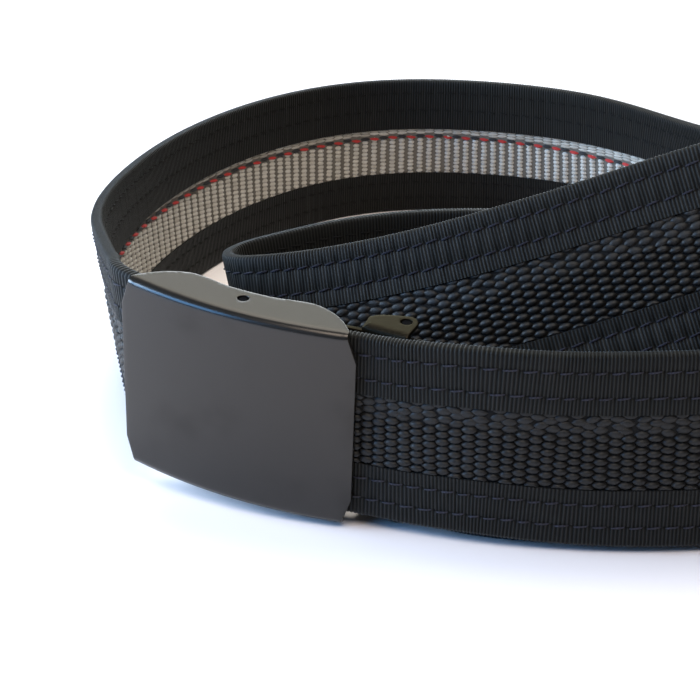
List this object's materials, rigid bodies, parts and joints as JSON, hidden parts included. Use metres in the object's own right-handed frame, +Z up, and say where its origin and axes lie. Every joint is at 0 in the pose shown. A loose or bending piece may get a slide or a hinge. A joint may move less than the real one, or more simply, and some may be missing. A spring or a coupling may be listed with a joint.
{
  "type": "fire hose belt",
  "caption": "Webbing belt made from woven hose with taped edges and a curved plaque buckle, fastened and twisted into coils that stand on edge.",
  "frame": {"origin": "middle of the bounding box's bottom, on the surface that the belt stands on", "axes": "+Z up, -Y the side that the buckle faces, +X to the right of the buckle as seen from its front"},
  "size_m": [0.1796, 0.2026, 0.0786],
  "materials": {
    "outer_webbing": "bead-like black weave",
    "inner_webbing": "light grey rib weave with a red and black tracer",
    "tape": "ribbed tape, dark navy",
    "case": "matte gunmetal",
    "clip": "dark satin"
  },
  "bodies": {
    "root": {"outer_webbing": "outer_webbing", "inner_webbing": "inner_webbing", "upper_binding": "tape", "lower_binding": "tape", "buckle_case": "case", "case_pin": "clip", "clip_body": "clip", "clip_lever": "clip"}
  },
  "joints": []
}
